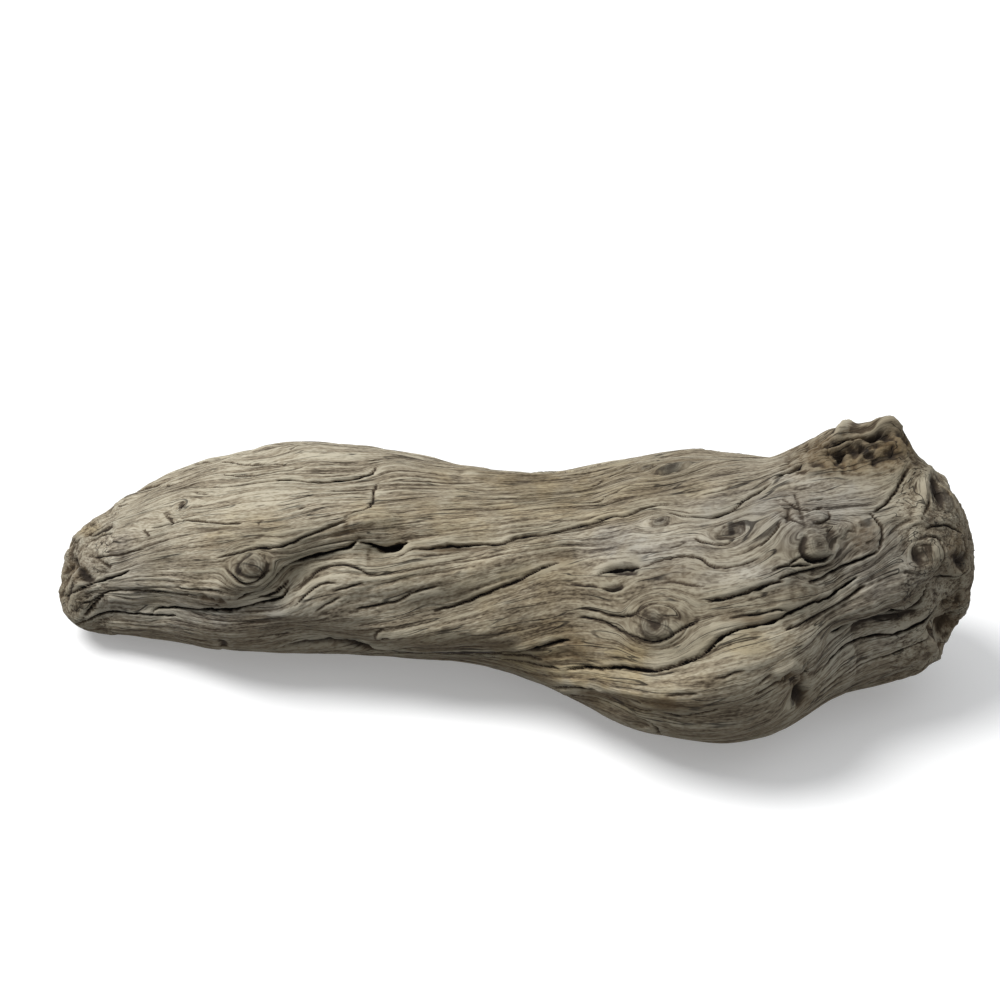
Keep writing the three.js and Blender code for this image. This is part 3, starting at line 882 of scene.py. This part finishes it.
def fibre_heading(skin, trails):
    """Which way the grain runs: along the log, round its middle as a screw, and along the cracks."""
    along, _ = slopes(skin.points)
    heading = unit(along)
    x = skin.points[..., 0]
    screw = SPIRAL * soft_step(x, SPIRAL_FROM - SPIRAL_FADE, SPIRAL_FROM + SPIRAL_FADE)
    screw *= 1 - soft_step(x, SPIRAL_TO - SPIRAL_FADE, SPIRAL_TO + SPIRAL_FADE)
    heading = unit(heading + screw[..., None] * np.cross(skin.normals, heading))
    for crack, trail in trails:
        if crack.grain:
            index, away, _, way = skin.near(trail, PULL_REACH * MM)
            pull = np.exp(-((away / (PULL_WIDTH * MM)) ** 2)) * PULL
            way = way * np.where((way * heading[index]).sum(-1, keepdims=True) < 0, -1, 1)
            heading[index] = unit(heading[index] + pull[..., None] * way)
    heading = relaxed(heading, HEADING_SMOOTHING)
    heading -= (heading * skin.normals).sum(-1, keepdims=True) * skin.normals
    return unit(heading)


def hidden_trails(skin, fibre, eye):
    """Cracks along the grain on the sides that face away from the camera."""
    rng = np.random.default_rng(HIDDEN_SEED)
    facing = eye.facing(skin.points, skin.normals)
    rows, spokes = facing.shape
    trails = []
    while len(trails) < HIDDEN_CRACKS:
        row, spoke = int(rng.integers(6, rows - 14)), int(rng.integers(spokes))
        long = int(rng.uniform(*HIDDEN_LONG))
        if facing[row, spoke] > 0.05:
            continue
        at = np.arange(row, min(rows - 4, row + long))
        drift = np.cumsum(rng.normal(0, HIDDEN_DRIFT, len(at)))
        turn = fibre[row, spoke] + drift
        steps = np.arange(spokes)
        spoke_at = np.array([np.interp(t, fibre[r], steps, period=TAU) for r, t in zip(at, turn)])
        low = np.floor(spoke_at).astype(int) % spokes
        part = (spoke_at % 1)[:, None]
        trail = skin.points[at, low] * (1 - part) + skin.points[at, (low + 1) % spokes] * part
        if np.linalg.norm(np.diff(trail, axis=0), axis=1).max() > HIDDEN_GAP * MM:
            continue
        size = rng.uniform(0.2, 1) ** 2
        crack = Crack([], 0.6 + 1.3 * size, 2.5 + 5 * size, 3 * size * (rng.random() < 0.7), 0.8 * size)
        trails.append((crack, trail))
    return trails


def grain_places(skin, shift, layout_angle):
    """For each point: how far along the log it is, and where its fibre stands in a cut across it."""
    along, across = slopes(skin.points)
    reach = np.cumsum(np.linalg.norm(along, axis=-1).mean(1))
    girth = np.linalg.norm(across, axis=-1).sum(1)
    body = girth[TIP_ROWS * 2:-BUTT_ROWS * 2]
    radius = np.full(len(girth), GRAIN_GIRTH)
    radius[:TIP_ROWS * 2] *= np.minimum(1, girth[:TIP_ROWS * 2] / body[0])
    radius[-BUTT_ROWS * 2:] *= np.minimum(1, girth[-BUTT_ROWS * 2:] / body[-1])
    turn = layout_angle + shift
    radius = radius[:, None]
    return np.stack([reach[:, None] + 0 * turn, radius * np.cos(turn), radius * np.sin(turn)], -1)


def part_fibres(skin, shift, knot, middle):
    """Turns the fibres aside round a knot."""
    index, away, _, _ = skin.near(middle[None], PARTING_FAR * knot.size * MM)
    off = skin.points[index] - middle
    heading = unit(slopes(skin.points)[0][index])
    along = (off * heading).sum(-1)
    across = (off * np.cross(skin.normals[index], heading)).sum(-1)
    far = (0.6 * along) ** 2 + across**2
    fade = 1 - soft_step(np.abs(away), PARTING_NEAR * knot.size * MM, PARTING_FAR * knot.size * MM)
    own = (knot.size * MM) ** 2
    shift[index] -= PARTING * across * own / np.maximum(far, own) * fade / PARTING_GIRTH


def build_skin(solid, corners, eye):
    """The log's fine skin with its fibres, its relief and its marks."""
    layout = Layout(corners)
    coarse = Skin(layout, laid_on(relaxed(cast_grid(layout, solid), SKIN_SMOOTHING), solid), 1)
    trails = [(crack, eye.trail(solid, crack.path)) for crack in CRACKS]
    heading = fibre_heading(coarse, trails)
    shift = fibre_shift(coarse.points, heading, layout.angle)
    trails += hidden_trails(coarse, layout.angle + shift, eye)
    fine = Skin(layout, relaxed(finer(coarse.points), FINE_SMOOTHING), 2)
    shift = finer(shift)
    knots = [(knot, np.array(eye.cast(solid, knot.at))) for knot in KNOTS]
    knots += [(knot, spot_on(layout, solid, *knot.at)) for knot in HIDDEN_KNOTS]
    for knot, middle in knots:
        if knot.dark > 0.2:
            part_fibres(fine, shift, knot, middle)
    relief = Relief(fine)
    for seed, (crack, trail) in enumerate(trails):
        relief.cut(crack, trail, seed)
    for seed, (knot, middle) in enumerate(knots):
        relief.grow(knot, middle, 300 + seed)
    for seed, swell in enumerate(SWELLS):
        relief.swell(swell, eye.trail(solid, swell.path), 400 + seed)
    angle = finer(np.append(layout.angle, TAU)[None, :, None])[0, :SPOKES * 2, 0]
    return fine, relief, grain_places(fine, shift, angle)


def spot_on(layout, solid, x, turn):
    """The point of the solid at x and so many degrees round it from the front."""
    turn = math.radians(turn)
    start = Vector(layout.axis(np.array(x)))
    way = Vector((0, -math.cos(turn), math.sin(turn)))
    return np.array(solid.ray_cast(start, way)[0])


def furrows(along):
    """How deep the narrow furrows between strands of fibres are, and where they have opened."""
    wide = np.clip(1 - np.abs(noise(along / (95, 11, 11), 80)) * 6, 0, 1)
    fine = np.clip(1 - np.abs(noise(along / (60, 6, 6), 81)) * 3.5, 0, 1)
    wide *= soft_step(noise(along / (60, 25, 25), 82), -0.5, 0.4)
    fine *= soft_step(noise(along / (40, 16, 16), 83), -0.3, 0.5)
    opened = soft_step(noise(along / (34, 12, 12), 84), 0.0, 0.5)
    return np.maximum(wide, 0.7 * fine), opened


def end_grain(rows):
    """How much of the end grain shows in each row, from 0 to 1."""
    row = np.arange(rows) / 2
    tip = 1 - soft_step(row, TIP_ROWS * 0.3, TIP_ROWS * 1.1)
    butt = soft_step(row, ROWS - 1 - BUTT_ROWS * 1.0, ROWS - 1 - BUTT_ROWS * 0.45)
    return np.maximum(0.6 * tip, butt)[:, None]


def finish_relief(fine, relief, grain, eye, sizes):
    """Adds the broken patches, the waves and the fibres, and returns the shape and its marks."""
    points, normals = fine.points, fine.normals
    places = eye.plane(points)
    shown = soft_step(eye.facing(points, normals), 0.0, 0.25)
    broken = patches(places, CRUMBLED, 40, points) * shown
    worn = soft_step(rough_noise(points / (38 * MM), 3, 45), 0.55, 1.0) * (1 - shown)
    ends = end_grain(len(points)) * soft_step(rough_noise(points / (16 * MM), 2, 46), -0.7, 0.5)
    relief.crumbled(np.maximum.reduce([broken, 2.2 * worn, 1.9 * ends]))
    along = grain / MM
    calm = 1 - 0.7 * relief.knot
    wave = rough_noise(along / (60, 14, 14), 3, 50) * sizes.wave / MM
    fibre = noise(along / (24, 2.8, 2.8), 55) + 0.6 * noise(along / (14, 1.4, 1.4), 56)
    fibre = fibre * sizes.fibre / MM * (1 - 0.6 * relief.crumble)
    furrow, checked = furrows(along)
    furrow *= 1 - np.maximum(relief.knot, relief.crumble)
    # Opened furrows join the crack lines, which are painted dark as the shade inside them.
    relief.line = np.maximum(relief.line, 0.5 * furrow * checked)
    wave = wave - furrow * sizes.furrow / MM
    height = relief.lift + relief.groove * sizes.crack_depth + (wave + fibre) * calm
    # cavity: how far each point lies below or above its surroundings; the shader darkens the hollows with it
    # as painted shade.
    cavity = height - relaxed(height, 24)
    shape = points + (normals * height[..., None] + relief.push) * MM
    shape[..., 2] = np.maximum(shape[..., 2], 0)
    # Painted shade: skin that faces down is marked, to be darkened towards brown as the shade under the log.
    under = soft_step(-normals[..., 2], 0.1, 0.8)
    stains = []
    # The stains front and back; the last kind, the dim patches, is painted shade.
    for k, kind in enumerate(STAIN_AND_SHADE_KINDS):
        front = patches(places, kind, 60 + k, points) * shown
        rear = soft_step(rough_noise(along / (90, 30, 30), 2, 65 + k), 0.35, 1.1) * (1 - shown)
        stains.append(front + 0.6 * rear)
    return shape, {
        "grain": grain,
        "marks": np.stack([relief.line, relief.knot, relief.ring], -1),
        "stains": np.stack(stains[:3], -1),
        "shade": np.stack([relief.dark, np.clip(0.5 + cavity / 2.6, 0, 1), relief.crumble], -1),
        # side: painted shade on down-facing skin, the grey patches, and painted shade that darkens the thick
        # end and the dim patches.
        "side": np.stack([under, stains[3], 0.35 * soft_step(points[..., 0], -0.16, 0.2) + stains[4]], -1),
    }


def with_poles(grid, first, last):
    """A grid as a plain list of its points, with the first pole before it and the last after it."""
    return np.concatenate([first[None], grid.reshape(-1, grid.shape[-1]), last[None]])


def skin_faces(rows, spokes):
    """The faces of a grid with its two poles, and the bake layout's place of each of their corners."""
    i, j = (k.ravel() for k in np.mgrid[0:rows - 1, 0:spokes])
    here, beside = 1 + i * spokes, (j + 1) % spokes
    quads = np.stack([here + j, here + spokes + j, here + spokes + beside, here + beside], -1)
    u = np.stack([j, j, j + 1, j + 1], -1) / spokes
    v = np.stack([i, i + 1, i + 1, i], -1) / (rows + 1) + 1 / (rows + 1)
    k = np.arange(spokes)
    far = 1 + (rows - 1) * spokes
    tip = np.stack([0 * k, 1 + k, 1 + (k + 1) % spokes], -1)
    butt = np.stack([far + k, 0 * k + far + spokes, far + (k + 1) % spokes], -1)
    tip_at = np.stack([(k + 0.5, 0 * k), (k, 0 * k + 1), (k + 1, 0 * k + 1)], 1)
    butt_at = np.stack([(k, 0 * k + rows), (k + 0.5, 0 * k + rows + 1), (k + 1, 0 * k + rows)], 1)
    ends = [at.transpose(2, 1, 0).reshape(-1, 2) / (spokes, rows + 1) for at in (tip_at, butt_at)]
    faces = quads.tolist() + tip.tolist() + butt.tolist()
    return faces, np.concatenate([np.stack([u, v], -1).reshape(-1, 2), *ends])


def make_mesh(shape, marks):
    """The mesh of the log's skin, with its marks as attributes."""
    rows, spokes = shape.shape[:2]
    rise = np.array(Vector((POLE_RISE, 0, 0)))
    mesh = bpy.data.meshes.new("driftwood_log")
    faces, places = skin_faces(rows, spokes)
    corners = with_poles(shape, shape[0].mean(0) - rise, shape[-1].mean(0) + rise)
    mesh.from_pydata(corners.tolist(), [], faces)
    mesh.uv_layers.new(name="OFBake").data.foreach_set("uv", places.astype(np.float32).ravel())
    for name, values in marks.items():
        values = with_poles(values, values[0].mean(0), values[-1].mean(0))
        layer = mesh.attributes.new(name, "FLOAT_VECTOR", "POINT")
        layer.data.foreach_set("vector", values.astype(np.float32).ravel())
    mesh.shade_smooth()
    mesh.update()
    return mesh


# ------------------------------------------------------------------ shader maths
class Term:
    """A shader value that takes part in Python expressions."""

    def __init__(self, shader, socket):
        self.shader, self.socket = shader, socket

    def __add__(self, other):
        return self.shader.math("ADD", self, other)

    def __sub__(self, other):
        return self.shader.math("SUBTRACT", self, other)

    def __mul__(self, other):
        return self.shader.math("MULTIPLY", self, other)

    def __truediv__(self, other):
        return self.shader.math("DIVIDE", self, other)

    def __rsub__(self, other):
        return self.shader.math("SUBTRACT", other, self)

    __radd__ = __add__
    __rmul__ = __mul__

    def __abs__(self):
        return self.shader.math("ABSOLUTE", self)

    def sine(self):
        return self.shader.math("SINE", self)

    def most(self, other):
        return self.shader.math("MAXIMUM", self, other)

    def ramp(self, low, high):
        """0 below low and 1 above high, with a smooth rise between; the other way if low is above high."""
        if low > high:
            return 1 - self.ramp(high, low)
        settings = {"interpolation_type": "SMOOTHSTEP"}
        return self.shader.node("ShaderNodeMapRange", settings, {0: self, 1: low, 2: high})


class Shader:
    """Builds the nodes of a material or a world."""

    def __init__(self, owner):
        owner.use_nodes = True
        self.tree = owner.node_tree
        kinds = ("BSDF_PRINCIPLED", "BACKGROUND")
        self.surface = next(node for node in self.tree.nodes if node.type in kinds)

    def node(self, kind, settings, inputs, output=0):
        """A node of some kind, with its settings and then its inputs, and one of its outputs."""
        made = self.tree.nodes.new(kind)
        for name, value in settings.items():
            setattr(made, name, value)
        for name, value in inputs.items():
            self.feed(made.inputs[name], value)
        return Term(self, made.outputs[output])

    def feed(self, socket, value):
        """Links a value to a socket, or sets the socket to it."""
        if isinstance(value, Term):
            self.tree.links.new(value.socket, socket)
        else:
            socket.default_value = value

    def fill(self, values):
        """Feeds the named sockets of the surface."""
        for name, value in values.items():
            self.feed(self.surface.inputs[name], value)

    def math(self, operation, *values):
        """A Math node on some values."""
        return self.node("ShaderNodeMath", {"operation": operation}, dict(enumerate(values)))

    def mark(self, name):
        """The three parts of one of the mesh's attributes."""
        whole = self.node("ShaderNodeAttribute", {"attribute_name": name}, {}, "Vector")
        parts = self.node("ShaderNodeSeparateXYZ", {}, {0: whole}).socket.node.outputs
        return [Term(self, part) for part in parts]

    def noise(self, place, size, detail=2.0, roughness=0.5):
        """Noise on a place, with bumps of the size given in metres along each axis."""
        scale = tuple(1 / s for s in size)
        scaled = self.node("ShaderNodeVectorMath", {"operation": "MULTIPLY"}, {0: place, 1: scale}, "Vector")
        inputs = {"Vector": scaled, "Scale": 1.0, "Detail": detail, "Roughness": roughness}
        return self.node("ShaderNodeTexNoise", {}, inputs)

    def mix(self, share, first, second, blend="MIX"):
        """A share of the second colour laid on the first."""
        settings = {"data_type": "RGBA", "blend_type": blend}
        first, second = ((*c, 1) if isinstance(c, tuple) else c for c in (first, second))
        return self.node("ShaderNodeMix", settings, {0: share, 6: first, 7: second}, 2)


def weathered_wood(colours):
    """Grey, sun-bleached wood with fine fibres, open checks, stains and cracks, with painted shade in the
    cracks, checks, hollows, under steps and on the underside.
    """
    material = bpy.data.materials.new("weathered_wood")
    shader = Shader(material)
    shaded = (0.50, 0.48, 0.44)
    rot_and_painted_shadow = (0.030, 0.022, 0.016)
    names = ("silver", "body", "groove", "ochre", "brown", "crack")
    silver, body, groove, ochre, brown, crack = (tuple(getattr(colours, name)) for name in names)
    grain = shader.node("ShaderNodeAttribute", {"attribute_name": "grain"}, {}, "Vector")
    place = shader.node("ShaderNodeTexCoord", {}, {}, "Object")
    line, knot, ring = shader.mark("marks")
    ochre_patch, brown_patch, pale_patch = shader.mark("stains")
    dark, height, crumble = shader.mark("shade")
    under, grey_patch, painted_shade = shader.mark("side")
    bands = shader.noise(grain, (0.110, 0.008, 0.008), 3, 0.55)
    fibres = shader.noise(grain, (0.045, 0.0026, 0.0026), 4, 0.7)
    flecks = shader.noise(grain, (0.010, 0.0012, 0.0012), 2)
    speckle = shader.noise(grain, (0.0035, 0.0010, 0.0010), 1)
    cloud = shader.noise(place, (0.045, 0.045, 0.045), 4, 0.6)
    grit = shader.noise(place, (0.0022, 0.0022, 0.0022), 3, 0.65)
    checks = shader.noise(grain, (0.075, 0.0055, 0.0055), 1)
    checked = shader.noise(grain, (0.030, 0.016, 0.016), 1).ramp(0.40, 0.58)
    hairline = abs(checks - 0.5).ramp(0.022, 0.005) * checked
    rings = ((ring * RING_UNIT * TAU / RING_PITCH + cloud * 3).sine() * 0.5 + 0.5) * knot
    # The hollows of the relief pull the level down, as painted shade, and the ridges up.
    level = bands * 0.9 + fibres * 2.1 + speckle * 1.0 + cloud * 0.6 - 1.8 + (height - 0.5) * 1.6
    level = level + pale_patch * 0.3
    colour = shader.mix(level.ramp(0.0, 0.5), groove, body)
    colour = shader.mix(level.ramp(0.4, 0.9), colour, silver)
    # Painted shade: the thick end and the dim patches are darkened as if less light reached them.
    colour = shader.mix((painted_shade + cloud * 0.5 - 0.25).ramp(0.0, 1.1) * 0.8, colour, shaded, "MULTIPLY")
    faded = shader.node("ShaderNodeHueSaturation", {}, {"Saturation": 0.45, "Color": colour})
    colour = shader.mix(grey_patch * 0.7, colour, faded)
    colour = shader.mix((ochre_patch * (0.3 + fibres * 0.9)).ramp(0.0, 0.9) * 0.75, colour, ochre, "MULTIPLY")
    colour = shader.mix((brown_patch * (0.35 + bands + fibres * 0.4)).ramp(0.15, 0.95) * 0.75, colour, brown)
    colour = shader.mix(crumble * (0.35 + grit * 0.5), colour, brown)
    # Painted shade on the skin that faces down.
    colour = shader.mix(under * 0.35, colour, brown)
    # Painted shade: the hollows of the relief are darkened towards the groove colour.
    colour = shader.mix((0.5 - height).ramp(0.08, 0.42) * 0.7, colour, groove)
    colour = shader.mix(rings * 0.5, colour, groove)
    colour = shader.mix(flecks.ramp(0.56, 0.70) * 0.6, colour, groove)
    colour = shader.mix(line.ramp(0.1, 0.5) * 0.55, colour, groove)
    # The dark mark: dark knots and rotted pits, and painted shadow under stepped cracks and along dark
    # hollows.
    colour = shader.mix((dark * (0.6 + grit * 0.8)).ramp(0.0, 0.9), colour, rot_and_painted_shadow)
    # Painted shade: the open checks and the cracks are filled with near-black, as the shade inside them.
    colour = shader.mix(hairline * 0.75, colour, crack)
    colour = shader.mix((line + (grit - 0.5) * 0.16).ramp(0.44, 0.53), colour, crack)
    rough = 0.95 - level.ramp(0.2, 1.0) * 0.12
    bump = fibres * 1.2 + flecks * 0.5 + grit * (0.3 + crumble) - hairline * 0.8
    normal = shader.node("ShaderNodeBump", {}, {"Height": bump, "Strength": 0.9, "Distance": 0.9 * MM})
    shader.fill({"Base Color": colour, "Roughness": rough, "Normal": normal, "Specular IOR Level": 0.25})
    return material


# ------------------------------------------------------------------ settings
def length_setting(name, description, default):
    """A setting in metres."""
    return bpy.props.FloatProperty(
        name=name, description=description, default=default, unit="LENGTH", precision=4
    )


def colour_setting(name, description, default):
    """A setting that is a colour."""
    return bpy.props.FloatVectorProperty(
        name=name, description=description, default=default, subtype="COLOR", size=3, min=0, max=1
    )


class DriftwoodSizes(bpy.types.PropertyGroup):
    wave: length_setting("Waves", "How high the soft waves of the wood are", 1.1 * MM)
    furrow: length_setting("Furrows", "How deep the narrow furrows along the grain are", 1.05 * MM)
    fibre: length_setting("Fibres", "How high single fibres stand", 0.3 * MM)
    crack_depth: bpy.props.FloatProperty(
        name="Crack depth", description="How deep the cracks are, times their own depth",
        default=1.0, min=0, max=2,
    )


class DriftwoodColours(bpy.types.PropertyGroup):
    silver: colour_setting("Silver", "The bleached ridges", (0.51, 0.46, 0.35))
    body: colour_setting("Body", "The wood between ridge and groove", (0.31, 0.26, 0.185))
    # Groove is also the painted shade in the hollows of the relief.
    groove: colour_setting("Groove", "The dirt in grooves", (0.08, 0.06, 0.04))
    ochre: colour_setting("Ochre", "The warm stains", (0.93, 0.81, 0.58))
    # Brown is also the painted shade on the skin that faces down.
    brown: colour_setting("Brown", "The dark stains and the broken wood", (0.13, 0.085, 0.042))
    # Crack is the near-black painted shade inside open cracks and checks.
    crack: colour_setting("Crack", "The inside of open cracks", (0.006, 0.004, 0.003))


class StageSettings(bpy.types.PropertyGroup):
    target: bpy.props.FloatVectorProperty(
        name="Target", description="The point the camera is turned to", default=(0.004, 0, 0.075),
        subtype="XYZ", unit="LENGTH",
    )
    distance: length_setting("Distance", "From the target to the camera", 1.7)
    elevation: bpy.props.FloatProperty(
        name="Elevation", description="How far above level the camera looks from", default=math.radians(27),
        subtype="ANGLE",
    )
    lens: bpy.props.FloatProperty(name="Lens", description="The focal length", default=90, unit="CAMERA")
    key: bpy.props.FloatProperty(name="Key light", description="The main light's power", default=2.6)
    floor: colour_setting("Floor", "The studio floor", (0.82, 0.82, 0.82))
    glow: bpy.props.FloatProperty(
        name="Floor glow", description="How much the lit studio floor shines by itself", default=0.3, min=0
    )
    air: colour_setting("Surround", "The light from all round", (0.96, 0.98, 1.0))


# ------------------------------------------------------------------ operators
FLOOR_HALF = 30  # half the floor's width
SUN_PLACE = (-1.1, -0.1, 1.8)  # the main light shines the way from here to the middle of the floor
SUN_SPREAD = math.radians(32)  # how wide it looks: the wider, the softer its shadows
SENSOR = 36  # the width of the camera's sensor, in millimetres
SHIFT_X, SHIFT_Y = -0.0107, 0.083  # how far the frame is moved aside and up, of its width


def add_object(name, data):
    """Puts a new object with this data in the scene."""
    made = bpy.data.objects.new(name, data)
    bpy.context.scene.collection.objects.link(made)
    return made


def aim(thing, place, target):
    """Puts a light or the camera at a place, turned to a target."""
    thing.location = place
    thing.rotation_euler = (Vector(target) - Vector(place)).to_track_quat("-Z", "Y").to_euler()


def soft_surround(air):
    """Even light from above and about a third of it from below. The camera sees it white."""
    world = bpy.data.worlds.new("surround")
    shader = Shader(world)
    height = shader.node("ShaderNodeTexCoord", {}, {}, "Generated")
    height = shader.node("ShaderNodeSeparateXYZ", {}, {0: height}, "Z")
    seen = shader.node("ShaderNodeLightPath", {}, {}, "Is Camera Ray")
    strength = (height.ramp(-0.25, 0.3) * 0.36 + 0.20).most(seen)
    shader.fill({"Color": (*air, 1), "Strength": strength})
    return world


class DRIFTWOOD_OT_stage(bpy.types.Operator):
    """Makes the pale floor, the soft light and the camera"""

    bl_idname = "driftwood.stage"
    bl_label = "Studio"

    def execute(self, context):
        stage = context.scene.driftwood_stage
        context.scene.world = soft_surround(stage.air)
        context.scene.view_settings.view_transform = "Standard"
        floor = bpy.data.meshes.new("floor")
        turns = ((-1, -1), (1, -1), (1, 1), (-1, 1))
        floor.from_pydata([(x * FLOOR_HALF, y * FLOOR_HALF, 0) for x, y in turns], [], [(0, 1, 2, 3)])
        paint = bpy.data.materials.new("studio_floor")
        shade = (*stage.floor, 1)
        Shader(paint).fill({
            "Base Color": shade, "Roughness": 0.9, "Specular IOR Level": 0.1,
            "Emission Color": shade, "Emission Strength": stage.glow,
        })
        floor.materials.append(paint)
        ground = add_object("floor", floor)
        ground.visible_diffuse = False  # so the floor throws no light up onto the log
        lamp = bpy.data.lights.new("key", "SUN")
        lamp.energy = stage.key
        lamp.angle = SUN_SPREAD
        aim(add_object("key", lamp), SUN_PLACE, (0, 0, 0))
        camera = bpy.data.cameras.new("camera")
        camera.lens = stage.lens
        camera.sensor_width = SENSOR
        camera.shift_x = SHIFT_X
        camera.shift_y = SHIFT_Y
        body = add_object("camera", camera)
        aim(body, Eye(stage).place, stage.target)
        context.scene.camera = body
        return {"FINISHED"}


class DRIFTWOOD_OT_log(bpy.types.Operator):
    """Makes the weathered log round its solid"""

    bl_idname = "driftwood.log"
    bl_label = "Log"

    def execute(self, context):
        scene = context.scene
        solid, corners = read_solid()
        eye = Eye(scene.driftwood_stage)
        fine, relief, grain = build_skin(solid, corners, eye)
        shape, marks = finish_relief(fine, relief, grain, eye, scene.driftwood_sizes)
        log = add_object("driftwood_log", make_mesh(shape, marks))
        log.data.materials.append(weathered_wood(scene.driftwood_colours))
        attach(log, "root")
        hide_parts("driftwood")
        return {"FINISHED"}


class DRIFTWOOD_PT_panel(bpy.types.Panel):
    """Lists the pieces and their settings"""

    bl_idname = "DRIFTWOOD_PT_panel"
    bl_label = "Driftwood"
    bl_space_type = "VIEW_3D"
    bl_region_type = "UI"
    bl_category = "Driftwood"

    def draw(self, context):
        for name, _ in SETTINGS:
            group = getattr(context.scene, name)
            for setting in group.__annotations__:
                self.layout.prop(group, setting)
        for operator in OPERATORS:
            self.layout.operator(operator.bl_idname)


SETTINGS = [
    ("driftwood_sizes", DriftwoodSizes),
    ("driftwood_colours", DriftwoodColours),
    ("driftwood_stage", StageSettings),
]
OPERATORS = [DRIFTWOOD_OT_stage, DRIFTWOOD_OT_log]
CLASSES = [*(group for _, group in SETTINGS), *OPERATORS, DRIFTWOOD_PT_panel]


def register():
    for kind in CLASSES:
        bpy.utils.register_class(kind)
    for name, group in SETTINGS:
        setattr(bpy.types.Scene, name, bpy.props.PointerProperty(type=group))


def unregister():
    for name, _ in SETTINGS:
        delattr(bpy.types.Scene, name)
    for kind in reversed(CLASSES):
        bpy.utils.unregister_class(kind)


def main():
    register()
    bpy.ops.driftwood.stage()
    bpy.ops.driftwood.log()


if __name__ == "__main__":
    main()
